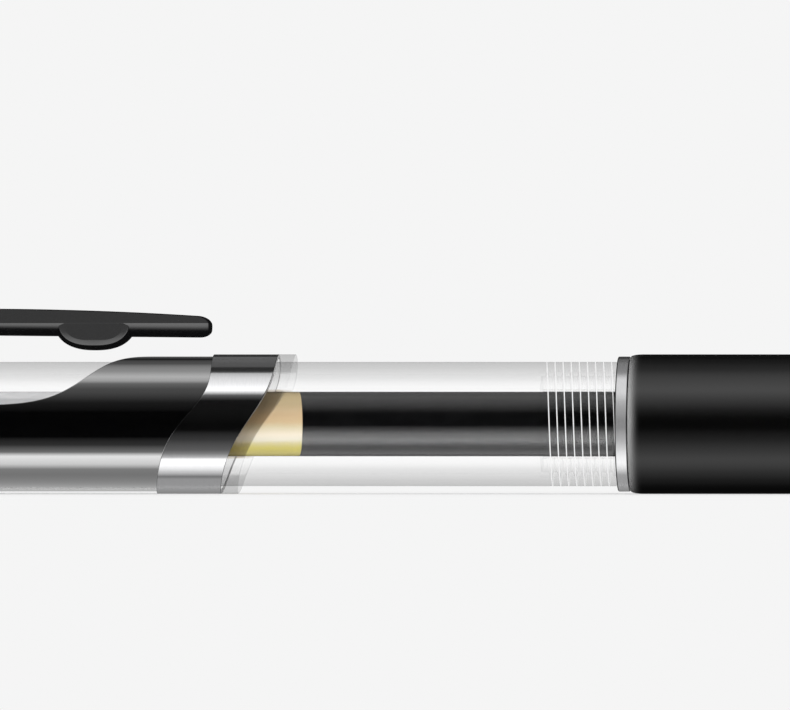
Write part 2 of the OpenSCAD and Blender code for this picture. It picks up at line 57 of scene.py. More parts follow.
def makeCamera(v):
    data = bpy.data.cameras.new("camera")
    data.sensor_width = v["sensor"]
    data.lens = v["sensor"] * v["distance"] / v["width"]
    data.clip_start, data.clip_end = v["clip"]
    cam = bpy.data.objects.new("camera", data)
    scene.collection.objects.link(cam)
    a = radians(v["azimuth"])
    back = Vector((sin(a), -cos(a), 0.0))
    cam.location = (Vector(v["aim"]) + back * v["distance"]) * mm
    cam.rotation_mode = "QUATERNION"
    cam.rotation_quaternion = (-back).to_track_quat("-Z", "Y")
    scene.camera = cam


makeCamera(cameraValues)


# Quads of a grid with rows and columns, which may close round on themselves.
def gridFaces(rows, cols, closeRows, closeCols):
    r = np.arange(rows if closeRows else rows - 1)
    c = np.arange(cols if closeCols else cols - 1)
    r, c = np.meshgrid(r, c, indexing="ij")
    r2, c2 = (r + 1) % rows, (c + 1) % cols
    quads = np.stack([r * cols + c, r * cols + c2, r2 * cols + c2, r2 * cols + c], axis=-1)
    return quads.reshape(-1, 4)


# weld joins doubles and sliver drops slim faces, in millimetres; edges past sharp degrees are
# sharp; and an arc at a corner takes at most arcShare of each side
meshValues = {"weld": 0.0002, "sliver": 0.0001, "sharp": 38.0, "arcShare": 0.499}


# Turns one or more point grids (in millimetres) into one object, with doubles merged, faces
# outwards, smooth surfaces and sharp edges past an angle. Each row closes round on itself, unless
# the piece is an open sheet.
def makePiece(name, grids, closeRows=False, sheet=False, sharp=meshValues["sharp"]):
    mesh = bpy.data.meshes.new(name)
    faces, start = [], 0
    for p in grids:
        faces.append(gridFaces(p.shape[0], p.shape[1], closeRows, not sheet) + start)
        start += p.shape[0] * p.shape[1]
    points = np.concatenate([p.reshape(-1, 3) for p in grids]) * mm
    mesh.from_pydata(points.tolist(), [], np.concatenate(faces).tolist())
    bm = bmesh.new()
    bm.from_mesh(mesh)
    bmesh.ops.remove_doubles(bm, verts=bm.verts, dist=meshValues["weld"] * mm)
    bmesh.ops.dissolve_degenerate(bm, edges=bm.edges, dist=meshValues["sliver"] * mm)
    if sheet:
        bmesh.ops.recalc_face_normals(bm, faces=bm.faces)
    elif bm.calc_volume(signed=True) < 0:
        bmesh.ops.reverse_faces(bm, faces=bm.faces)
    bm.to_mesh(mesh)
    bm.free()
    mesh.polygons.foreach_set("use_smooth", np.ones(len(mesh.polygons), bool))
    mesh.set_sharp_from_angle(angle=radians(sharp))
    piece = bpy.data.objects.new(name, mesh)
    scene.collection.objects.link(piece)
    return piece


# Along, side and up of each face's middle ("center") or each vertex ("co"), in millimetres.
def places(items, field):
    flat = np.empty(len(items) * 3, np.float32)
    items.foreach_get(field, flat)
    return (flat.reshape(-1, 3) / mm).T


# Gives each face one of the piece's materials, by its number.
def setMaterials(piece, numbers):
    piece.data.polygons.foreach_set("material_index", numbers.astype(np.int32))


# Rounds the corners of an outline: each corner is (along, out, radius), and its arc runs
# between the two points where a circle of that radius touches the sides.
def rounded(corners, closed=True, steps=6):
    c = np.array(corners, float)
    n = len(c)
    out = []
    for i in range(n):
        p, rad = c[i, :2], c[i, 2]
        if rad <= 0 or (not closed and i in (0, n - 1)):
            out.append(p[None])
            continue
        a = c[i - 1, :2] - p
        b = c[(i + 1) % n, :2] - p
        la, lb = np.linalg.norm(a), np.linalg.norm(b)
        a, b = a / la, b / lb
        half = np.arccos(np.clip(a @ b, -1, 1)) / 2
        t = min(rad / np.tan(half), meshValues["arcShare"] * la, meshValues["arcShare"] * lb)
        r = t * np.tan(half)
        centre = p + (a + b) / np.linalg.norm(a + b) * r / np.sin(half)
        s, e = p + a * t - centre, p + b * t - centre
        turn = pi - 2 * half
        w = np.linspace(0, 1, steps + 1)[:, None]
        out.append(centre + (np.sin((1 - w) * turn) * s + np.sin(w * turn) * e) / np.sin(turn))
    return np.concatenate(out)


# Points at station x and angle a round the pen's axis: (x, r sin a, r cos a), so a = 0 is the top.
def ringPoints(x, r, a):
    return np.stack(np.broadcast_arrays(x, r * np.sin(a), r * np.cos(a)), axis=-1)


# A surface of revolution about the pen's axis, from an outline of points (x, r).
def turned(name, outline, closed=True, segments=160):
    a = np.linspace(0, 2 * pi, segments, endpoint=False)
    return makePiece(name, [ringPoints(outline[:, :1], outline[:, 1:], a)], closeRows=closed)


def grey(level):
    return (level, level, level, 1.0)


def newMaterial(name):
    mat = bpy.data.materials.new(name)
    mat.use_nodes = True
    mat.node_tree.nodes.clear()
    return mat, mat.node_tree.nodes


# Adds a node. Each input is given a value, or linked to an output or to a node's first output.
def node(nodes, kind, inputs=None, **props):
    n = nodes.new("ShaderNode" + kind)
    for k, val in props.items():
        setattr(n, k, val)
    for k, val in (inputs or {}).items():
        if isinstance(val, bpy.types.Node):
            val = val.outputs[0]
        if isinstance(val, bpy.types.NodeSocket):
            n.id_data.links.new(val, n.inputs[k])
        else:
            n.inputs[k].default_value = val
    return n


# A ramp of colours, read at a share from 0 to 1: each stop is (share, colour or grey).
def colourRamp(nodes, share, stops):
    ramp = node(nodes, "ValToRGB", {"Fac": share})
    els = ramp.color_ramp.elements
    while len(els) > 1:
        els.remove(els[-1])
    for i, (pos, col) in enumerate(stops):
        e = els[0] if i == 0 else els.new(pos)
        e.position = pos
        e.color = (*col, 1.0) if isinstance(col, tuple) else grey(col)
    return ramp


# A share that goes from one value to another between two stations along the pen.
def stationShare(nodes, stations, shares=(0.0, 1.0)):
    coord = node(nodes, "TexCoord")
    split = node(nodes, "SeparateXYZ", {"Vector": coord.outputs["Object"]})
    return node(nodes, "MapRange", {
        "Value": split.outputs["X"], "From Min": stations[0] * mm, "From Max": stations[1] * mm,
        "To Min": shares[0], "To Max": shares[1]})


def mixShaders(nodes, share, first, second):
    return node(nodes, "MixShader", {"Fac": share, 1: first, 2: second})


# The fine noise of all finishes: from and to are the levels at its ramp's ends, height is how many
# millimetres full strength lifts a surface by, and clearGrain is how fine it is on the clear ones.
noiseValues = {"detail": 3.0, "from": 0.35, "to": 0.65, "height": 0.01, "clearGrain": 900.0}


# Noise on object coordinates, and the same sent through a ramp of two colours or two numbers.
def speckle(nodes, scale, low, high, stretch=(1, 1, 1)):
    coord = node(nodes, "TexCoord")
    place = node(nodes, "Mapping", {"Scale": stretch, "Vector": coord.outputs["Object"]})
    noise = node(nodes, "TexNoise", {"Scale": scale, "Detail": noiseValues["detail"], "Vector": place})
    return noise, colourRamp(nodes, noise, [(noiseValues["from"], low), (noiseValues["to"], high)])


# A surface's gloss level face on, and how far edge on, from 0 to 1, it starts and ends to die away.
grazeValues = {"level": 0.5, "from": 0.78, "to": 0.93}


# A solid finish: colour and roughness vary a little with fine noise, which also lifts the surface.
def solidFinish(name, v):
    mat, nodes = newMaterial(name)
    noise, tint = speckle(nodes, v["grain"], v["low"], v["high"], v.get("stretch", (1, 1, 1)))
    # painted highlight: a paler band added to the colour at the grip's rear lip
    if "rim" in v:          # a paler lip between two of the piece's own stations
        pale = colourRamp(nodes, stationShare(nodes, v["rim"]), v["rimStops"])
        tint = node(nodes, "VectorMath", {0: tint, 1: pale}, operation="ADD")
    level = grazeValues["level"]
    if "graze" in v:        # the gloss dies away where the surface is seen almost edge on
        edge = node(nodes, "LayerWeight")
        level = node(nodes, "MapRange", {
            "Value": edge.outputs["Facing"], "From Min": grazeValues["from"], "From Max": grazeValues["to"],
            "To Min": level, "To Max": v["graze"]})
    rough = node(nodes, "MapRange", {"Value": noise, "To Min": v["rough"][0], "To Max": v["rough"][1]})
    height = noiseValues["height"] * mm
    bump = node(nodes, "Bump", {"Strength": v["lift"], "Distance": height, "Height": noise})
    # a finish with a glow strength glows though it is no lamp: painted light
    bsdf = node(nodes, "BsdfPrincipled", {
        "Base Color": tint, "Roughness": rough, "Normal": bump, "Coat Normal": bump,
        "Metallic": v.get("metal", 0.0), "IOR": v.get("ior", 1.5), "Specular IOR Level": level,
        "Coat Weight": v.get("coat", 0.0), "Emission Color": grey(1.0),
        "Emission Strength": v.get("paintedGlow", 0.0)})
    node(nodes, "OutputMaterial", {"Surface": bsdf})
    return mat


# A clear moulding: what is behind shows through, greyer the more the wall is seen edge on, with a
# faint white film where film says so and a gloss on top. The gloss's share is
# f0 + (rim - f0) * facing ** 5, the same from both sides of the wall.
def clearFinish(name, v):
    mat, nodes = newMaterial(name)
    facing = node(nodes, "LayerWeight").outputs["Facing"]
    through = colourRamp(nodes, facing, v["through"])
    # painted shadow of the band: the lip's tint is darkest at the band's edge
    if "ahead" in v:        # fades from the band's edge forward, by the piece's own attribute
        along = node(nodes, "Attribute", attribute_name="ahead")
        fade = colourRamp(nodes, along.outputs["Fac"], v["ahead"])
        through = node(nodes, "VectorMath", {0: through, 1: fade}, operation="MULTIPLY")
    see = node(nodes, "BsdfTransparent", {"Color": through})
    rough = speckle(nodes, noiseValues["clearGrain"], *v["rough"])[1]
    gloss = node(nodes, "BsdfGlossy", {"Color": grey(1.0), "Roughness": rough})
    f0 = ((v["ior"] - 1) / (v["ior"] + 1)) ** 2
    steep = node(nodes, "Math", {0: facing, 1: 5.0}, operation="POWER")
    share = node(nodes, "Math", {0: steep, 1: v["rim"] - f0, 2: f0}, operation="MULTIPLY_ADD")
    last = mixShaders(nodes, share, see, gloss)
    if "film" in v:
        haze = node(nodes, "BsdfDiffuse", {"Color": (*v["filmColour"], 1.0)})
        last = mixShaders(nodes, stationShare(nodes, v["filmFrom"], v["film"]), last, haze)
    node(nodes, "OutputMaterial", {"Surface": last})
    return mat


def dress(piece, body, skins):
    for skin in skins:
        piece.data.materials.append(mats[skin])
    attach(piece, body)


def dressNode(name, mat):
    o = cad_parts[name]
    o.data.materials.clear()
    o.data.materials.append(mat)


finishes = {
    "blackGloss": {"low": (0.0006, 0.0006, 0.0007), "high": (0.001, 0.001, 0.0011), "grain": 2500.0,
                   "rough": (0.03, 0.06), "lift": 0.02, "ior": 1.7, "coat": 1.0},
    "blackSatin": {"low": (0.0016, 0.0016, 0.0018), "high": (0.003, 0.003, 0.0032), "grain": 5000.0,
                   "rough": (0.16, 0.22), "lift": 0.02, "ior": 1.6, "graze": 0.05},
    "rubber": {"low": 0.00005, "high": 0.0002, "grain": 9000.0,
               # the rear lip's stations and stops paint a highlight on the rubber, palest at the rear end
               "rough": (0.17, 0.23), "lift": 0.08, "ior": 1.52, "graze": 0.0, "rim": (-19.12, -17.95),
               "rimStops": [(0.0, 0.048), (0.12, 0.041), (0.2, 0.033), (0.28, 0.026), (0.36, 0.018),
                            (0.44, 0.0125), (0.52, 0.0075), (0.6, 0.0046), (0.68, 0.0024), (0.76, 0.0011),
                            (0.88, 0.0004), (1.0, 0.0)]},
    "chrome": {"low": (0.8, 0.8, 0.81), "high": (0.84, 0.84, 0.85), "grain": 1500.0, "metal": 1.0,
               "rough": (0.06, 0.1), "lift": 0.02, "stretch": (8, 1, 1)},
    "satinChrome": {"low": (0.8, 0.8, 0.81), "high": (0.86, 0.86, 0.87), "grain": 1800.0,
                    "metal": 1.0, "rough": (0.14, 0.2), "lift": 0.03, "stretch": (10, 1, 1)},
    "whitePlastic": {"low": (0.8, 0.8, 0.78), "high": (0.86, 0.86, 0.84), "grain": 4000.0,
                     "rough": (0.3, 0.42), "lift": 0.05},
    "tipMetal": {"low": (0.62, 0.56, 0.42), "high": (0.72, 0.66, 0.52), "grain": 3000.0, "metal": 1.0,
                 "rough": (0.18, 0.28), "lift": 0.05, "stretch": (10, 1, 1)},
    "ballMetal": {"low": (0.5, 0.5, 0.52), "high": (0.6, 0.6, 0.62), "grain": 9000.0, "metal": 1.0,
                  "rough": (0.1, 0.16), "lift": 0.03},
    "springSteel": {"low": (0.55, 0.55, 0.56), "high": (0.66, 0.66, 0.67), "grain": 5000.0,
                    "metal": 1.0, "rough": (0.16, 0.28), "lift": 0.04},
    # the thread crests glow white, a painted glint; the band's inner faces and ends glow, painted light
    "threadGlint": {"low": 0.16, "high": 0.2, "grain": 8000.0, "rough": (0.35, 0.5), "lift": 0.03,
                    "paintedGlow": 0.78},
    "bandInside": {"low": 0.44, "high": 0.5, "grain": 3000.0, "rough": (0.45, 0.6), "lift": 0.03,
                   "paintedGlow": 0.72},
    "bandEnd": {"low": 0.4, "high": 0.46, "grain": 3000.0, "rough": (0.45, 0.6), "lift": 0.03,
                "paintedGlow": 0.15},
    # dark metal along the band's edges and on the ring's rear edge and gap step: painted shade
    "edgeShadeMetal": {"low": 0.05, "high": 0.07, "grain": 3000.0, "metal": 1.0, "rough": (0.3, 0.4),
                  "lift": 0.03},
    "ink": {"low": (0.0012, 0.0012, 0.0015), "high": (0.002, 0.002, 0.0024), "grain": 700.0,
            "rough": (0.3, 0.38), "lift": 0.0, "ior": 1.15},
}
mats = {name: solidFinish(name, v) for name, v in finishes.items()}

# through: how much of the light each crossing lets past, from face on (0) to edge on (1)
clears = {
    "clearSkin": {"through": [(0.0, 1.0), (0.19, 1.0), (0.24, 0.985), (0.3, 0.98), (0.37, 0.965),
                              (0.45, 0.92), (0.57, 0.87), (0.74, 0.845), (1.0, 0.8)],
                  "rough": (0.03, 0.06), "ior": 1.62, "rim": 0.1},
    "clearInside": {"through": [(0.0, 1.0), (1.0, 0.99)], "rough": (0.03, 0.06), "ior": 1.05,
                    "rim": 0.02},
    # the lip's tint, darkest at the band's front edge and fading forward, is a painted shadow of the band
    "lipShadowSkin": {"through": [(0.0, 1.0), (0.3, 1.0), (0.34, 0.81), (1.0, 0.77)],
                  "ahead": [(0.0, (0.6, 0.55, 0.48)), (0.35, (0.62, 0.57, 0.5)), (0.8, (0.74, 0.69, 0.62)),
                            (0.9, (0.8, 0.77, 0.72)), (1.0, 0.985)],
                  "rough": (0.05, 0.09), "ior": 1.25, "rim": 0.05},
    "tubeSkin": {"through": [(0.0, 0.99), (0.5, 0.97), (0.85, 0.92), (1.0, 0.88)],
                 "rough": (0.08, 0.13), "ior": 1.5, "rim": 0.3, "film": (0.45, 0.0),
                 "filmFrom": (-61.6, -61.0), "filmColour": (0.6, 0.6, 0.61)},
    "coreSkin": {"through": [(0.0, 1.0), (0.4, 0.999), (0.8, 0.98), (1.0, 0.94)],
                 "rough": (0.05, 0.1), "ior": 1.06, "rim": 0.04},
}
mats.update({name: clearFinish(name, v) for name, v in clears.items()})
print("materials made")


barrelValues = {"rear": -96.8, "front": -20.42, "radius": 5.75, "bore": 4.63, "grooveRear": -27.58,
                "groove": 4.98, "edge": 0.15, "boreEdge": 0.05, "skin": 0.2, "cols": 192}


# What lies deeper than skin has the inside's material.
def makeBarrel(v):
    outline = rounded([
        (v["rear"], v["radius"], v["edge"]), (v["front"], v["radius"], v["edge"]),
        (v["front"], v["groove"], v["boreEdge"]), (v["grooveRear"], v["groove"], 0.0),
        (v["grooveRear"], v["bore"], 0.0), (v["rear"], v["bore"], v["boreEdge"])])
    piece = turned("clearBarrel", outline, segments=v["cols"])
    dress(piece, "barrel", ["clearSkin", "clearInside"])
    x, y, z = places(piece.data.polygons, "center")
    setMaterials(piece, np.hypot(y, z) < v["radius"] - v["skin"])
    return piece


barrel = makeBarrel(barrelValues)

# The round wall magnifies the moulded thread to the barrel's full height, so its crests are laid
# just under the outer face. Angle a runs from +Y over the top, as the thread winds: the station is
# start + pitch a / 2 pi, lean cos a tips each turn a little towards the pen's rear below and above,
# and tilt sin a tips its top back. Both ends run out thin over fade degrees, to the share least.
threadValues = {"start": -26.748, "pitch": 0.75, "turns": 8.6, "radius": 5.735, "width": 0.1,
                "height": 0.02, "lean": 0.3, "tilt": 0.09, "fade": 90.0, "least": 0.02, "flat": 0.6,
                "underShare": 0.998, "steps": 72}


def makeThreadLines(v):
    a = np.linspace(0, 2 * pi * v["turns"], int(v["steps"] * v["turns"]) + 1)[:, None]
    fade = np.clip(np.minimum(a, a[-1] - a) / radians(v["fade"]), v["least"], 1)
    dx = np.array([-0.5, -v["flat"] / 2, v["flat"] / 2, 0.5])[None] * v["width"] * fade
    dr = np.array([0.0, 1.0, 1.0, 0.0])[None] * v["height"]
    x = v["start"] + v["pitch"] * a / (2 * pi) - v["lean"] * (1 + np.cos(a)) - v["tilt"] * np.sin(a) + dx
    r = v["radius"] + dr + 0 * a
    points = np.stack([x, r * np.cos(a), r * np.sin(a)], axis=-1)
    under = points * np.array([1.0, v["underShare"], v["underShare"]])
    loop = np.concatenate([points, under[:, ::-1]], axis=1)
    piece = makePiece("threadLines", [loop])
    # the crests glow white: a painted glint of the light in the moulded thread
    dress(piece, "barrel", ["threadGlint"])


makeThreadLines(threadValues)
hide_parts("clear_barrel")
print("barrel made")


# An edge's station at angle a (degrees from the top): bottom + sweep / (1 + exp((a - middle) / ease)),
# with an ease that grows from the first value at the top to the second at the bottom. The outline has
# a point flatIn inside each rounded edge, which keeps the edge's soft shading out of the flat.
bandValues = {"bottom": -57.3, "sweep": 5.5, "front": (91.5, 13.0, 24.0), "rear": (90.0, 3.0, 28.0),
              "length": 6.03, "outer": 6.45, "inner": 6.05, "rearEdge": 0.03, "edge": 0.05,
              "flatIn": 0.08, "skin": 0.06, "endIn": 0.05, "cols": 288}


def bandEdge(a, shape):
    a = np.abs((a + 180) % 360 - 180)
    middle, atTop, atBottom = shape
    ease = atTop + (atBottom - atTop) * a / 180
    return bandValues["bottom"] + bandValues["sweep"] / (1 + np.exp((a - middle) / ease))


# A collar round the pen. Its outline's stations count from the band's rear edge, and at every angle
# each point keeps its distance from the rear or front edge, whichever it is nearer to.
def collar(name, corners):
    v = bandValues
    outline = rounded(corners)
    a = np.linspace(0, 360, v["cols"], endpoint=False)[None]
    along, r = outline[:, :1], outline[:, 1:]
    share = np.where(along > v["length"] / 2, 1.0, 0.0)
    shift = along - share * v["length"]
    rear = bandEdge(a, v["rear"]) - v["length"]
    front = bandEdge(a, v["front"])
    x = rear * (1 - share) + front * share + shift
    return makePiece(name, [ringPoints(x, r, np.radians(a))], closeRows=True)


# What lies deeper than skin, or within endIn of an edge, has materials of its own: the inner faces glow,
# painted light, and the faces along the edges are dark metal, painted shade.
def makeBand(v):
    long, outer, inner, edge, flatIn = (v[k] for k in ("length", "outer", "inner", "edge", "flatIn"))
    piece = collar("trimBand", [
        (0, outer, v["rearEdge"]), (flatIn, outer, 0.0), (long - flatIn, outer, 0.0), (long, outer, edge),
        (long, inner, edge), (0, inner, edge)])
    dress(piece, "barrel", ["chrome", "bandInside", "edgeShadeMetal", "bandEnd"])
    x, y, z = places(piece.data.polygons, "center")
    around = np.degrees(np.arctan2(y, z))
    fromRear = x - bandEdge(around, v["rear"]) + long
    fromFront = bandEdge(around, v["front"]) - x
    below = np.hypot(y, z) < outer - v["skin"]
    atEnds = np.minimum(fromRear, fromFront) < v["endIn"]
    setMaterials(piece, below + 2 * atEnds)
    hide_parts("trim_band")


# The lip's tint, a painted shadow of the band, lies along the pen's sides only: it clears from clearFrom
# above and below the axis.
lipValues = {"length": 1.6, "inner": 5.8, "under": 6.0, "gap": 0.005, "edge": 0.05, "underEdge": 0.03,
             "frontEdge": 0.04, "flatIn": (0.2, 0.3), "clearFrom": 2.8, "clearFade": 0.4, "shadowShare": 0.9}


# The lip runs on under the whole band. Its attribute ahead grades the band's painted shadow on it: it
# grows from 0 at the band's front edge, and is 1 where the lip is clear.
def makeLip(v):
    b = bandValues
    start, end, outer = b["length"] + v["gap"], b["length"] + v["length"], b["outer"]
    piece = collar("bandLip", [
        (0, v["under"], v["underEdge"]), (start, v["under"], 0.0), (start, outer, v["edge"]),
        (start + v["flatIn"][0], outer, 0.0), (end - v["flatIn"][1], outer, 0.0), (end, outer, 2 * v["edge"]),
        (end, v["inner"], v["frontEdge"]), (0, v["inner"], v["underEdge"])])
    x, y, z = places(piece.data.vertices, "co")
    shadowFade = x - bandEdge(np.degrees(np.arctan2(y, z)), b["front"])
    shadowFade = v["shadowShare"] * np.clip(shadowFade / v["length"], 0, 1)
    clear = np.clip((np.abs(z) - v["clearFrom"]) / v["clearFade"], 0, 1)
    ahead = piece.data.attributes.new("ahead", "FLOAT", "POINT")
    ahead.data.foreach_set("value", (shadowFade * (1 - clear) + clear).astype(np.float32))
    dress(piece, "barrel", ["lipShadowSkin", "clearInside"])
    x, y, z = places(piece.data.polygons, "center")
    setMaterials(piece, np.hypot(y, z) < outer - b["skin"])
    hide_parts("band_lip")


makeBand(bandValues)
makeLip(lipValues)
print("band made")


shellValues = {"rear": -96.95, "outer": 6.25, "wall": 0.45, "edge": 0.09, "edgeAngle": 50.0,
               "windowMiddle": -78.4, "windowLength": 30.0, "windowAngle": 73.46,
               "turnShare": 0.6878, "ease": 2.029, "rows": 260, "cols": 200}


# Angle from the top down to the window's edge: falls off as 1 / (1 + exp(distance / ease)).
def windowEdge(x, v):
    half = v["windowLength"] / 2
    d = np.abs(x - v["windowMiddle"])
    soft = lambda q: 1 / (1 + np.exp((q - v["turnShare"] * half) / v["ease"]))
    w = v["windowAngle"] * (soft(d) - soft(half)) / (soft(0.0) - soft(half))
    return np.where(d < half, np.maximum(w, 0), 0.0)


# The shell's outer face: angle w + (360 - 2 w) t runs round from one window edge under the pen to
# the other, and station s runs from the rear end to the band's rear edge.
def makeShell(v):
    b = bandValues
    topFront = b["bottom"] + b["sweep"] - b["length"]
    s = np.linspace(v["rear"], topFront, v["rows"])[:, None]
    t = np.linspace(0, 1, v["cols"])[None]
    w = windowEdge(s, v)
    angle = w + (360 - 2 * w) * t
    s0 = v["windowMiddle"] + v["windowLength"] / 2
    ramp = np.clip((s - s0) / (topFront - s0), 0, 1)
    front = bandEdge(angle, b["rear"]) - b["length"]
    x = s + ramp * (front - topFront)
    points = ringPoints(x, v["outer"], np.radians(angle))
    piece = makePiece("rearShell", [points], sheet=True)
    wall = piece.modifiers.new("wall", "SOLIDIFY")
    wall.thickness = v["wall"] * mm
    wall.offset = -1.0
    edge = piece.modifiers.new("edge", "BEVEL")
    edge.width = v["edge"] * mm
    edge.segments = 2
    edge.limit_method = "ANGLE"
    edge.angle_limit = radians(v["edgeAngle"])
    dress(piece, "barrel", ["blackGloss"])
    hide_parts("rear_shell")


makeShell(shellValues)
print("shell made")


capValues = {"front": -97.0, "rear": -104.5, "floor": -101.2, "radius": 6.25, "edge": 2.0, "seamEdge": 0.12,
             "bore": 4.63, "boreEdge": 0.05, "hole": 3.6, "holeEdge": 0.15}


def makeCap(v):
    outline = rounded([
        (v["front"], v["radius"], v["seamEdge"]), (v["front"], v["bore"], v["boreEdge"]),
        (v["floor"], v["bore"], 0.0), (v["floor"], v["hole"], 0.0),
        (v["rear"], v["hole"], v["holeEdge"]), (v["rear"], v["radius"], v["edge"])], steps=10)
    piece = turned("rearCap", outline)
    dress(piece, "barrel", ["blackGloss"])
    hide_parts("rear_cap")


makeCap(capValues)

buttonValues = {"rear": -111.5, "flangeRear": -101.05, "front": -100.05, "radius": 3.5, "flange": 3.85,
                "wall": 0.55, "top": 0.9, "dome": 1.1, "edge": 0.05, "floorEdge": 0.3}


def makeButton(v):
    bore, floor = v["radius"] - v["wall"], v["rear"] + v["top"]
    outline = rounded([
        (v["rear"], 0.0, 0.0), (v["rear"], v["radius"], v["dome"]), (v["flangeRear"], v["radius"], 0.0),
        (v["flangeRear"], v["flange"], v["edge"]), (v["front"], v["flange"], v["edge"]),
        (v["front"], bore, v["edge"]), (floor, bore, v["floorEdge"]), (floor, 0.0, 0.0)],
        closed=False, steps=12)
    piece = turned("pushButton", outline, closed=False)
    dress(piece, "knock", ["chrome"])
    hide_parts("push_button")


makeButton(buttonValues)
print("cap and button made")


clipValues = {"tip": -58.15, "heel": -102.3, "width": 4.2, "low": 8.0, "top": 10.645, "crown": 22.0,
              "drop": 0.74, "belly": 1.34, "bellyFrom": 20.0, "flankIn": 0.12, "tipEdge": 1.15,
              "lowShare": 0.85, "tipTop": 0.8, "tipLow": 0.62, "rootLift": 0.36, "rootStep": 0.22,
              "seat": 6.6, "fillet": 1.3, "heelEdge": 2.2, "heelFrom": 0.02, "runIn": 0.1,
              "rootGaps": (0.02, 0.001), "filletGaps": (0.08, 0.38), "tipGap": 0.4, "topEdge": 0.07,
              "fullHeight": 2.2, "leastShare": 0.05, "roof": 0.04, "roofShare": 0.8,
              "endShares": (0.94, 0.8, 0.5, 0.0),
              "tongue": (-101.5, -98.1, 4.93, 3.2), "tongueEdge": 0.3, "tongueIn": 0.3,
              "tongueLifts": (0.2, 0.06, 0.0), "tongueShares": (1.0, 0.964, 0.9), "sharp": 17.0}


# The clip's side outline as two heights over its length: on top a shallow parabola with a round heel
# and an elliptic tip, below a line that rises evenly to the root's round fillet.
def clipHeights(x, v):
    tip, e, f, h = v["tip"], v["tipEdge"], v["fillet"], v["heelEdge"]
    crownX = tip - v["crown"]
    top = v["top"] - v["drop"] * ((x - crownX) / v["crown"]) ** 2
    intoTip = np.clip((x - (tip - e)) / e, 0, 1)
    lowEdge = v["lowShare"] * e
    intoLow = np.clip((x - tip + lowEdge) / lowEdge, 0, 1)
    corner = v["tipTop"] * (1 - np.sqrt(1 - intoTip ** 2))
    lowCorner = v["tipLow"] * (1 - np.sqrt(1 - intoLow ** 2))
    intoHeel = np.clip(v["heel"] + h - x, 0, h)
    heel = h - np.sqrt(np.maximum(h * h - intoHeel ** 2, 0))
    top = top - corner - heel
    rootX = v["tongue"][1]
    lift = v["rootLift"] * np.clip((tip - e - x) / (tip - e - rootX - f), 0, 1)
    low = v["low"] + lift + lowCorner
    d = np.clip((rootX + f + v["rootStep"] - x) / f, 0, 1)
    low = low - f * (1 - np.sqrt(np.maximum(1 - d * d, 0)))
    low = np.where(x < rootX + v["rootStep"], v["seat"], low)
    return top, low


# The clip's section from the middle of the underside out round to the middle of the top:
# the belly is an arc of radius belly / (1 - sin bellyFrom), whose face leans from straight down to
# bellyFrom where it meets the flat flank, and the top edge is rounded. The tip's round outline cuts
# the section off and leaves its slopes as they are.
def clipSection(v, x, top, low):
    plain = np.where(x > v["tip"] - v["tipEdge"], v["low"], low)
    half = v["width"] / 2
    start = radians(v["bellyFrom"])
    lean = np.linspace(pi / 2, start, 16)
    radius = v["belly"] / (1 - sin(start))
    bellyY = half - radius * (cos(start) - np.cos(lean))
    bellyShare = (1 - np.sin(lean)) / (1 - sin(start))
    flankZ = np.minimum(np.minimum(plain, v["low"]) + v["belly"],
                        np.maximum(top - v["flankIn"], 0.5 * (top + low)))
    bellyZ = np.maximum(plain[:, None] + (flankZ - plain)[:, None] * bellyShare, low[:, None])
    room = np.clip((top - low) / v["fullHeight"], v["leastShare"], 1)[:, None]
    e = v["topEdge"] * room
    turn = np.linspace(0, pi / 2, 7)
    across = np.linspace(v["roofShare"], 0, 5)
    top = top[:, None]
    roofZ = top + v["roof"] * room * (1 - across ** 2)
    rows = [(0 * top, low[:, None]), (bellyY + 0 * top, bellyZ),
            (half - e * (1 - np.cos(turn)), top - e * (1 - np.sin(turn))),
            (across * (half - v["topEdge"]) + 0 * top, roofZ)]
    return np.concatenate([np.stack(row, -1) for row in rows], axis=1)


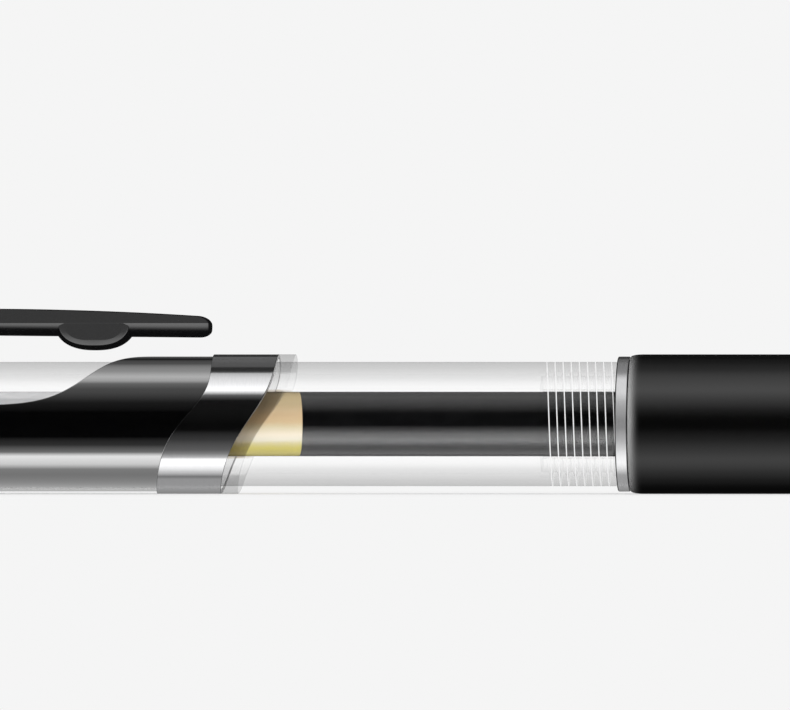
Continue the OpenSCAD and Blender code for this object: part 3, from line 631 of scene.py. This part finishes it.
# The clip's stations crowd round heel, root and tip, and each section is mirrored to the far side.
def makeClip(v):
    rear, front, foot, wide = v["tongue"]
    root = front + v["rootStep"]
    heelRun = v["heelEdge"] + v["runIn"]
    x = np.concatenate([
        v["heel"] + heelRun * (1 - np.cos(np.linspace(v["heelFrom"], pi / 2, 16))),
        np.linspace(v["heel"] + heelRun + v["runIn"], root - v["rootGaps"][0], 10),
        np.linspace(root + v["rootGaps"][1], root + v["fillet"] + v["filletGaps"][0], 18),
        np.linspace(root + v["fillet"] + v["filletGaps"][1], v["tip"] - v["tipEdge"] - v["tipGap"], 90),
        v["tip"] - v["tipEdge"] * (1 - np.sin(np.linspace(0, pi / 2, 20)))])
    top, low = clipHeights(x, v)
    half = clipSection(v, x, top, low)
    other = half[:, ::-1] * np.array([-1.0, 1.0])
    ring = np.concatenate([half, other[:, 1:-1]], axis=1)
    points = np.concatenate([np.broadcast_to(x[:, None, None], ring.shape[:2] + (1,)), ring], axis=-1)

    # an end is closed by rings that shrink to the middle of its section
    def close(end):
        mid = end.mean(axis=0)
        return np.array([mid + (end - mid) * np.array([1.0, k, k]) for k in v["endShares"]])

    beam = np.concatenate([close(points[0])[::-1], points, close(points[-1])])
    # the tongue is a plain foot that goes down into the cap, with a soft lower edge
    edge = v["tongueEdge"]
    loop = rounded([(rear, -wide / 2, edge), (front, -wide / 2, edge), (front, wide / 2, edge),
                    (rear, wide / 2, edge)])
    head = v["seat"] + v["tongueIn"]
    z = np.array([head, head] + [foot + lift for lift in v["tongueLifts"]] + [foot])[:, None, None]
    size = np.array([0.0, 1.0, *v["tongueShares"], 0.0])[:, None, None]
    mid = loop.mean(axis=0)
    rings = mid + (loop - mid) * size
    tongue = np.concatenate([rings, z + 0 * rings[:, :, :1]], axis=-1)
    piece = makePiece("pocketClip", [beam, tongue], sharp=v["sharp"])
    dress(piece, "clip", ["blackSatin"])
    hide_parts("clip")


# long and deep are half the oval's axes. The pad's sides are flat up to face from the rim, and draw
# in by lineIn at line from the rim and by flatIn at the rim.
padValues = {"x": -68.87, "z": 9.42, "long": 3.72, "deep": 2.6, "power": 2.3, "sideIn": 0.003,
             "face": 0.98, "faceEdge": 0.5, "line": 0.45, "lineIn": 0.11, "lineEdge": 0.15, "flatIn": 1.2,
             "sharp": 24.0}


# The half moon pad: half an oval bar across the clip with bevelled rims, hung inside the clip. At angle
# b from straight down its rim lies ((sin b / long) ** n + (cos b / deep) ** n) ** (-1 / n) from its middle.
def makePad(v):
    w, n = clipValues["width"] / 2 - v["sideIn"], v["power"]
    b = np.linspace(-pi / 2, pi / 2, 97)[:, None]
    rim = ((np.abs(np.sin(b)) / v["long"]) ** n + (np.abs(np.cos(b)) / v["deep"]) ** n) ** (-1 / n)
    side = [(v["long"], w, 0.0), (v["face"], w, v["faceEdge"]), (v["line"], w - v["lineIn"], v["lineEdge"]),
            (0.0, w - v["flatIn"], v["faceEdge"])]
    outline = rounded([(-inset, -y, e) for inset, y, e in side]
                      + [(-inset, y, e) for inset, y, e in side[::-1]])
    r = np.maximum(rim + outline[:, 0][None], 0.0)
    y = outline[:, 1][None] + 0 * b
    points = np.stack([v["x"] + r * np.sin(b), y, v["z"] - r * np.cos(b)], axis=-1)
    middle = np.zeros_like(points[:1]) + np.array([v["x"], 0.0, v["z"]])      # closes the flat top
    points = np.concatenate([middle, points, middle])
    piece = makePiece("clipPad", [points], sharp=v["sharp"])
    dress(piece, "clip", ["blackSatin"])


makeClip(clipValues)
makePad(padValues)
print("clip made")


refillValues = {"tail": -82.2, "front": 8.4, "radius": 3.0, "bore": 2.35, "tailEdge": 0.1, "frontEdge": 0.08,
                "boreEdge": 0.05, "inkFront": 2.9, "inkRear": -49.9, "greaseRear": -61.9, "fill": 2.97,
                "tilt": 10.0, "gap": 0.02, "fillEdge": 0.06, "ringShares": (0.0, 0.5, 0.9), "endIn": 2.0,
                "cols": 128}


# A round plug of ink or grease: rings along the pen, where one end may be tilted, so that
# its station at side offset y is x - y tan(tilt). Its ends close on the axis with soft edges.
def plug(name, x0, x1, tilt0, tilt1):
    v = refillValues
    radius, e = v["fill"], v["fillEdge"]
    a = np.linspace(0, 2 * pi, v["cols"], endpoint=False)[None]
    turn = np.linspace(0, pi / 2, 5)
    middle = radius * np.array(v["ringShares"])
    r = np.concatenate([middle, radius - e + e * np.sin(turn), [radius]])
    inward = np.concatenate([0 * middle, e * (1 - np.cos(turn)), [v["endIn"]]])
    t0, t1 = np.tan(radians(tilt0)), np.tan(radians(tilt1))
    y, z = r[:, None] * np.sin(a), r[:, None] * np.cos(a)
    back = np.stack([x0 + inward[:, None] - y * t0, y, z], axis=-1)
    ahead = np.stack([x1 - inward[:, None] - y * t1, y, z], axis=-1)[::-1]
    return makePiece(name, [np.concatenate([back, ahead])])


def makeRefill(v):
    outline = rounded([(v["tail"], v["radius"], v["tailEdge"]), (v["front"], v["radius"], v["frontEdge"]),
                       (v["front"], v["bore"], 0.0), (v["tail"], v["bore"], v["boreEdge"])])
    tube = turned("refillTube", outline)
    dress(tube, "refill", ["tubeSkin"])
    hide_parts("refill_tube")
    ink = plug("inkColumn", v["inkRear"], v["inkFront"], v["tilt"], 0.0)
    dress(ink, "refill", ["ink"])
    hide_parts("ink_column")
    grease = plug("followerGrease", v["greaseRear"], v["inkRear"] - v["gap"], 0.0, v["tilt"])
    dress(grease, "refill", ["grease"])
    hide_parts("follower_grease")


greaseValues = {"rough": 0.25, "ior": 1.47, "coat": 0.6, "coatRough": 0.12, "grain": 900.0, "detail": 2.0,
                "wobble": 0.25, "radius": 3.0, "stops": [
                    # the pale cream stops a little below the middle paint a highlight
                    (0.0, (0.95, 0.8, 0.15)), (0.15, (0.95, 0.82, 0.18)), (0.23, (0.84, 0.74, 0.36)),
                    (0.28, (0.84, 0.77, 0.58)), (0.36, (0.88, 0.77, 0.58)), (0.47, (0.72, 0.62, 0.4)),
                    (0.56, (0.64, 0.46, 0.25)), (0.65, (0.565, 0.4, 0.216)), (0.84, (0.46, 0.352, 0.188)),
                    (1.0, (0.46, 0.35, 0.16))]}


# The follower's colour runs from tan at the top through peach to yellow below; the pale cream band a
# little below the middle is a painted highlight.
def greaseFinish(v):
    mat, nodes = newMaterial("grease")
    place = node(nodes, "TexCoord").outputs["Object"]
    split = node(nodes, "SeparateXYZ", {"Vector": place})
    noise = node(nodes, "TexNoise", {"Scale": v["grain"], "Detail": v["detail"], "Vector": place})
    height = node(nodes, "Math", {0: noise, 1: v["wobble"] * mm, 2: split.outputs["Z"]},
                  operation="MULTIPLY_ADD")
    reach = v["radius"] * mm
    share = node(nodes, "MapRange", {"Value": height, "From Min": -reach, "From Max": reach})
    bsdf = node(nodes, "BsdfPrincipled", {
        "Base Color": colourRamp(nodes, share, v["stops"]), "Roughness": v["rough"], "IOR": v["ior"],
        "Coat Weight": v["coat"], "Coat Roughness": v["coatRough"]})
    node(nodes, "OutputMaterial", {"Surface": bsdf})
    return mat


mats["grease"] = greaseFinish(greaseValues)
makeRefill(refillValues)
print("refill made")


# The ring's rear edge and the step that fills the gap to the grip are dark metal, painted shade, as far
# in as darkIn says.
ringValues = {"rear": -20.3, "front": -19.23, "outer": 6.25, "bore": 4.9, "edge": 0.16,
              "flatIn": (0.22, 0.1), "frontEdge": 0.05, "step": 0.11, "stepDeep": 0.3, "stepEdge": 0.04,
              "boreEdge": 0.08, "darkIn": (0.12, 0.02), "cols": 192}


def makeRing(v):
    rear, front, outer = v["rear"], v["front"], v["outer"]
    low, seat = outer - v["stepDeep"], front + v["step"]
    outline = rounded([
        (rear, outer, v["edge"]), (rear + v["flatIn"][0], outer, 0.0), (front - v["flatIn"][1], outer, 0.0),
        (front, outer, v["frontEdge"]), (front, low, 0.0), (seat, low, 0.0), (seat, v["bore"], v["stepEdge"]),
        (rear, v["bore"], v["boreEdge"])], steps=10)
    piece = turned("trimRing", outline, segments=v["cols"])
    dress(piece, "ring", ["satinChrome", "edgeShadeMetal"])
    x, y, z = places(piece.data.polygons, "center")
    setMaterials(piece, (x < rear + v["darkIn"][0]) | (x > front - v["darkIn"][1]))
    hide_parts("trim_ring")


makeRing(ringValues)

gripValues = {"rear": -19.12, "front": 19.0, "outer": 6.45, "inner": 5.35, "edge": 0.7, "innerEdge": 0.05,
              "rimLong": 1.15, "rimDeep": 0.22, "cols": 224}


# The grip: its rear rim is a quarter ellipse.
def makeGrip(v):
    outline = rounded([(v["rear"], v["outer"], 0.0), (v["front"], v["outer"], v["edge"]),
                       (v["front"], v["inner"], v["innerEdge"]), (v["rear"], v["inner"], v["innerEdge"])],
                      steps=14)
    u = np.linspace(0, pi / 2, 22)[:, None]
    rim = np.concatenate([v["rear"] + v["rimLong"] * (1 - np.cos(u)),
                          v["outer"] - v["rimDeep"] * (1 - np.sin(u))], axis=1)
    piece = turned("gripSleeve", np.concatenate([rim, outline[1:]]), segments=v["cols"])
    dress(piece, "front", ["rubber"])
    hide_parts("grip_sleeve")


makeGrip(gripValues)

coreValues = {"rear": -27.4, "threadRear": -27.1, "threadFront": -21.1, "stop": -20.8,
              "spigot": 4.45, "crest": 4.8, "pitch": 0.75, "foot": 0.36, "top": 0.16, "runIn": 0.2,
              "runOut": 0.15, "sleeveRear": -19.0, "sleeveFront": 19.0, "body": 5.3, "nose": 23.0,
              "noseSpigot": 4.6, "bore": 3.2, "hair": 0.001, "rows": 192, "cols": 96}


# The core's outside: radius r(x), raised by a trapezoid ridge where the distance of x from the
# helix start + pitch a / 2 pi, taken to the nearest turn, is under half the ridge's width.
def makeCore(v):
    a = np.linspace(0, 2 * pi, v["cols"], endpoint=False)[None]
    run = np.linspace(v["threadRear"] - v["runIn"], v["threadFront"] + v["runIn"], v["rows"])
    x = np.concatenate([[v["rear"]], run, [v["stop"] - v["hair"]]])[:, None]
    off = (x - v["threadRear"] - v["pitch"] * a / (2 * pi)) / v["pitch"]
    off = np.abs(off - np.round(off)) * v["pitch"]
    rise = np.clip((v["foot"] / 2 - off) / (v["foot"] / 2 - v["top"] / 2), 0, 1)
    ends = np.clip(np.minimum(x - v["threadRear"], v["threadFront"] - x) / v["runOut"], 0, 1)
    r = v["spigot"] + (v["crest"] - v["spigot"]) * rise * ends
    thread = np.stack([x + 0 * a, r * np.cos(a), r * np.sin(a)], axis=-1)
    steps = np.array([(v["stop"], v["crest"]), (v["sleeveRear"], v["crest"]), (v["sleeveRear"], v["body"]),
                      (v["sleeveFront"], v["body"]), (v["sleeveFront"], v["noseSpigot"]),
                      (v["nose"], v["noseSpigot"]), (v["nose"], v["bore"]), (v["rear"], v["bore"])])
    rest = np.stack([steps[:, :1] + 0 * a, steps[:, 1:] * np.cos(a), steps[:, 1:] * np.sin(a)], axis=-1)
    points = np.concatenate([thread, rest])
    piece = makePiece("gripCore", [points], closeRows=True)
    dress(piece, "front", ["coreSkin"])
    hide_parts("grip_core")


makeCore(coreValues)

noseValues = {"rear": 19.1, "length": 12.9, "flat": 0.4, "rearRadius": 6.2, "rearEdge": 0.1,
              "tipRadius": 1.75, "tipEdge": 0.08, "power": 1.35, "hole": 1.5, "holeEdge": (0.1, 0.04),
              "seat": 25.0, "step": 23.1, "bore": 3.2, "socket": 4.65, "rows": 60, "cols": 192}


# The nose: radius falls from the rear one to the tip one as 1 - t ** power, then the inside steps back.
def makeNose(v):
    t = np.linspace(0, 1, v["rows"])
    x = v["rear"] + v["flat"] + (v["length"] - v["flat"]) * t
    r = v["tipRadius"] + (v["rearRadius"] - v["tipRadius"]) * (1 - t ** v["power"])
    r[-1] -= v["tipEdge"]
    outside = np.stack([x, r], axis=-1)
    tipX = v["rear"] + v["length"]
    inside = np.array([(tipX, v["hole"] + v["holeEdge"][1]), (tipX - v["holeEdge"][0], v["hole"]),
                       (v["seat"], v["hole"]), (v["seat"], v["bore"]), (v["step"], v["bore"]),
                       (v["step"], v["socket"]), (v["rear"], v["socket"]),
                       (v["rear"], v["rearRadius"] - v["rearEdge"]),
                       (v["rear"] + v["rearEdge"], v["rearRadius"])])
    piece = turned("noseCone", np.concatenate([outside, inside]), segments=v["cols"])
    dress(piece, "front", ["satinChrome"])
    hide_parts("nose_cone")


makeNose(noseValues)
print("front made")


springValues = {"rear": 10.0, "front": 24.95, "radius": 2.45, "wire": 0.4, "curls": 10, "steps": 40,
                "sides": 12, "endIn": 0.01, "travel": 6.5}


def unit(rows):
    return rows / np.linalg.norm(rows, axis=1, keepdims=True)


# The wire's middle line: a helix between two short straight ends; round it, at angle b,
# the point lies half a wire away across the line's own two side directions.
def makeSpring(v):
    n = v["curls"] * v["steps"] + 1
    a = np.linspace(0, 2 * pi * v["curls"], n)
    x0, x1 = v["rear"] + v["wire"], v["front"] - v["wire"]
    line = np.stack([np.linspace(x0, x1, n), v["radius"] * np.cos(a), v["radius"] * np.sin(a)], -1)
    line = np.concatenate([[[v["rear"] + v["endIn"], v["radius"], 0]], line,
                           [[v["front"] - v["endIn"], v["radius"], 0]]])
    along = unit(np.gradient(line, axis=0))
    side = unit(np.cross(along, unit(line * np.array([0, 1, 1]))))
    outward = np.cross(side, along)
    b = np.linspace(0, 2 * pi, v["sides"], endpoint=False)[None, :, None]
    points = line[:, None] + v["wire"] / 2 * (np.cos(b) * outward[:, None] + np.sin(b) * side[:, None])
    first, last = (np.repeat(end, v["sides"], 1) for end in (line[:1, None], line[-1:, None]))
    piece = makePiece("returnSpring", [np.concatenate([first, points, last])])
    dress(piece, "front", ["springSteel"])
    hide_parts("spring")
    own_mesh(piece)


makeSpring(springValues)

innerFinishes = {"guide_sleeve": "blackSatin", "thrust_cam": "whitePlastic", "rotor_cam": "whitePlastic",
                 "refill_plug": "whitePlastic", "tip_holder": "whitePlastic", "writing_tip": "tipMetal",
                 "tip_ball": "ballMetal"}
for name, finish in innerFinishes.items():
    dressNode(name, mats[finish])
print("inner pieces dressed")


stageValues = {"floorZ": -6.46, "half": 8000.0, "pale": 0.913, "near": 30.0, "far": 100.0, "least": 0.4,
               "middle": -40.0, "alongShare": 0.35}


# The floor is a plain diffuse sheet near the pen, where it takes the shadow, and fades to the
# backdrop's flat tone with the distance from the pen's axis and ends.
def makeFloor(v):
    h, z = v["half"], v["floorZ"]
    g = np.array([[[-h, -h, z], [h, -h, z]], [[-h, h, z], [h, h, z]]], float)
    floor = makePiece("floor", [g], sheet=True)
    if floor.data.polygons[0].normal.z < 0:
        floor.data.flip_normals()
    mat, nodes = newMaterial("floor")
    coord = node(nodes, "TexCoord")
    place = node(nodes, "Mapping", {
        "Vector": coord.outputs["Object"], "Location": (-v["middle"] * mm * v["alongShare"], 0, 0),
        "Scale": (v["alongShare"], 1, 0)})
    away = node(nodes, "VectorMath", {0: place}, operation="LENGTH")
    fade = node(nodes, "MapRange", {
        "Value": away.outputs["Value"], "From Min": v["near"] * mm, "From Max": v["far"] * mm,
        "To Min": v["least"]}, interpolation_type="SMOOTHSTEP")
    sheet = node(nodes, "BsdfDiffuse", {"Color": grey(v["pale"])})
    flat = node(nodes, "Emission", {"Color": grey(v["pale"])})
    node(nodes, "OutputMaterial", {"Surface": mixShaders(nodes, fade, sheet, flat)})
    floor.data.materials.append(mat)
    floor.visible_glossy = False


makeFloor(stageValues)

# What gloss mirrors, by angle in degrees round the pen's axis: 0 is the camera's side,
# 90 is overhead. Soft faint boxes over and under, dark cloth between, and pale walls at both ends.
worldValues = {"level": 1.0, "ends": 0.6, "endFrom": 0.75, "endTo": 0.95, "boxes": [
    (-180, 0.01), (-120, 0.012), (-86, 0.02), (-74, 0.22), (-60, 0.25), (-44, 0.008),
    (0, 0.001), (40, 0.004), (56, 0.2), (84, 0.2), (100, 0.03), (140, 0.015), (180, 0.01)]}


def makeWorld(v):
    world = bpy.data.worlds.new("studio")
    scene.world = world
    world.use_nodes = True
    nodes = world.node_tree.nodes
    nodes.clear()
    coord = node(nodes, "TexCoord")
    split = node(nodes, "SeparateXYZ", {"Vector": coord.outputs["Generated"]})
    minus = node(nodes, "Math", {0: split.outputs["Y"], 1: -1.0}, operation="MULTIPLY")
    angle = node(nodes, "Math", {0: split.outputs["Z"], 1: minus}, operation="ARCTAN2")
    share = node(nodes, "MapRange", {"Value": angle, "From Min": -pi, "From Max": pi})
    top = max(level for a, level in v["boxes"])
    stops = [((a + 180) / 360, level / top) for a, level in v["boxes"]]
    boxes = node(nodes, "Background", {"Color": colourRamp(nodes, share, stops), "Strength": top})
    even = node(nodes, "Background", {"Color": grey(1.0), "Strength": v["level"]})
    plain = node(nodes, "Background", {"Color": grey(stageValues["pale"])})
    ends = node(nodes, "Background", {"Color": grey(1.0), "Strength": v["ends"]})
    along = node(nodes, "Math", {0: split.outputs["X"]}, operation="ABSOLUTE")
    wall = node(nodes, "MapRange", {"Value": along, "From Min": v["endFrom"], "From Max": v["endTo"]},
                interpolation_type="SMOOTHSTEP")
    ray = node(nodes, "LightPath")
    gloss = mixShaders(nodes, wall, boxes, ends)
    unseen = mixShaders(nodes, ray.outputs["Is Glossy Ray"], even, gloss)
    last = mixShaders(nodes, ray.outputs["Is Camera Ray"], unseen, plain)
    node(nodes, "OutputWorld", {"Surface": last})


makeWorld(worldValues)

# Long softboxes beside the pen, grouped by the only pieces that they light. Their cloth is graded:
# a stop is (angle round the axis, brightness). The one that no gloss mirrors brings out the
# highlight painted on the grip's rear lip.
lampValues = {
    ("gripSleeve",): {
        "overGrip": [
            (12, 0.0), (24, 0.22), (40, 0.85), (58, 1.35), (78, 0.85), (102, 0.26), (122, 0.06),
            (140, 0.0)],
        "underGrip": [
            (-135, 0.0), (-122, 0.02), (-104, 0.14), (-80, 0.58), (-60, 1.0), (-42, 0.78), (-26, 0.3),
            (-8, 0.0)],
        "beforeRim": [(-18, 28.0), (22, 28.0)]},
    ("trimBand", "pushButton"): {
        "overBand": [
            (49, 0.0), (53, 0.5), (58, 1.15), (62, 1.08), (70, 0.84), (78, 0.68), (87, 0.52), (92.5, 0.43),
            (95, 0.0), (107, 0.0), (110, 0.07), (124, 0.09), (136, 0.0)],
        "underBand": [
            (-136, 0.0), (-124, 0.35), (-104, 0.33), (-97, 0.18), (-89, 0.55), (-80, 0.85), (-61, 1.25),
            (-57, 0.35), (-50, 0.14), (-26, 0.04), (-10, 0.0)]},
    ("trimRing", "noseCone"): {
        "overRing": [
            (-5, 0.0), (5, 0.25), (28, 0.4), (50, 0.58), (84, 0.55), (96, 0.22), (124, 0.18), (136, 0.0)],
        "underRing": [
            (-136, 0.0), (-124, 0.37), (-96, 0.36), (-84, 0.75), (-70, 0.9), (-46, 0.8), (-28, 0.5),
            (-5, 0.25), (5, 0.0)]},
    ("trimRing", "noseCone", "trimBand", "pushButton"): {
        "behindRing": [
            (124, 0.0), (136, 0.1), (146, 0.12), (150, 0.02), (165, 0.02), (170, 0.17), (180, 0.2),
            (224, 0.36), (236, 0.0)]},
    ("clearBarrel",): {
        "overBarrel": [(44, 0.0), (56, 1.0), (84, 1.0), (96, 0.0)],
        "underBarrel": [(-90, 0.0), (-78, 1.2), (-58, 1.2), (-46, 0.0)]},
    ("refillTube", "inkColumn"): {
        "overTube": [(38, 0.0), (54, 0.2), (72, 0.8), (92, 1.1), (110, 0.7), (125, 0.0)],
        "underTube": [(-140, 0.3), (-104, 1.3), (-80, 2.2), (-62, 4.9), (-42, 3.9), (-21, 1.2), (-6, 0.0)]},
    ("followerGrease",): {
        "beforeGrease": [(-60, 1.0), (60, 1.0)]},
    ("rearShell", "rearCap"): {
        "overShell": [
            (20, 0.0), (36, 0.08), (62, 0.38), (73, 0.9), (79, 2.6), (88, 3.3), (102, 1.7), (125, 0.3),
            (145, 0.0)],
        "underShell": [
            (-152, 0.0), (-140, 1.1), (-96, 1.25), (-83, 1.6), (-72, 5.0), (-57, 6.9), (-49, 1.3),
            (-36, 0.25), (-22, 0.0)],
        "behindShell": [(145, 0.0), (180, 0.2), (208, 0.9), (220, 0.0)]},
    ("pocketClip", "clipPad"): {
        "beforeClip": [
            (-86, 0.0), (-78, 0.1), (-68, 0.8), (-58, 2.0), (-40, 2.9), (-28, 2.6), (-13, 0.62),
            (38, 0.62)]},
}
# distance is from the pen's axis and middle is their middle's station; in metres
rigValues = {"distance": 0.4, "length": 1.2, "middle": -0.05, "unmirrored": "beforeRim"}


# Grades a lamp's cloth along its own Y.
def gradedCloth(data, stops):
    data.use_nodes = True
    nodes = data.node_tree.nodes
    nodes.clear()
    place = node(nodes, "NewGeometry").outputs["Parametric"]
    split = node(nodes, "SeparateXYZ", {"Vector": place})
    cloth = colourRamp(nodes, split.outputs["Y"], stops)
    node(nodes, "OutputLight", {"Surface": node(nodes, "Emission", {"Color": cloth})})


# A softbox spans its first to its last angle, and its cloth's share at angle a is
# 0.5 + 0.5 tan(a - middle) / tan(half the span).
def makeLamp(name, pieces, stops, v):
    angles, glows = np.array(stops).T
    angles = np.radians(angles)
    mid, half = (angles[0] + angles[-1]) / 2, (angles[-1] - angles[0]) / 2
    shares = 0.5 + 0.5 * np.tan(angles - mid) / np.tan(half)
    data = bpy.data.lights.new(name, "AREA")
    data.shape = "RECTANGLE"
    data.size = v["length"]
    data.size_y = 2 * v["distance"] * np.tan(half)
    data.energy = glows.max() * pi * data.size * data.size_y      # watts give this radiance
    gradedCloth(data, list(zip(shares.tolist(), (glows / glows.max()).tolist())))
    lamp = bpy.data.objects.new(name, data)
    scene.collection.objects.link(lamp)
    lamp.visible_glossy = name != v["unmirrored"]
    way = Vector((0, -cos(mid), sin(mid)))
    across = Vector((1, 0, 0))
    lamp.location = way * v["distance"] + Vector((v["middle"], 0, 0))
    lamp.rotation_mode = "QUATERNION"
    lamp.rotation_quaternion = Matrix((across, way.cross(across), way)).transposed().to_quaternion()
    group = bpy.data.collections.new(name + "Lights")
    for piece in pieces:
        group.objects.link(bpy.data.objects[piece])
    lamp.light_linking.receiver_collection = group
    lamp.light_linking.blocker_collection = group


for pieces, lamps in lampValues.items():
    for name, stops in lamps.items():
        makeLamp(name, pieces, stops, rigValues)

# these pieces mirror the studio only: a neighbour's dark or bright image would cut their highlights
for name in ("pocketClip", "clipPad", "rearShell", "clearBarrel", "threadLines", "trimBand", "bandLip",
             "refillTube", "inkColumn", "followerGrease"):
    bpy.data.objects[name].visible_glossy = False
for name in ("guide_sleeve", "thrust_cam", "rotor_cam", "refill_plug"):
    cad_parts[name].visible_glossy = False
scene.view_settings.view_transform = "Standard"
print("stage and light made")
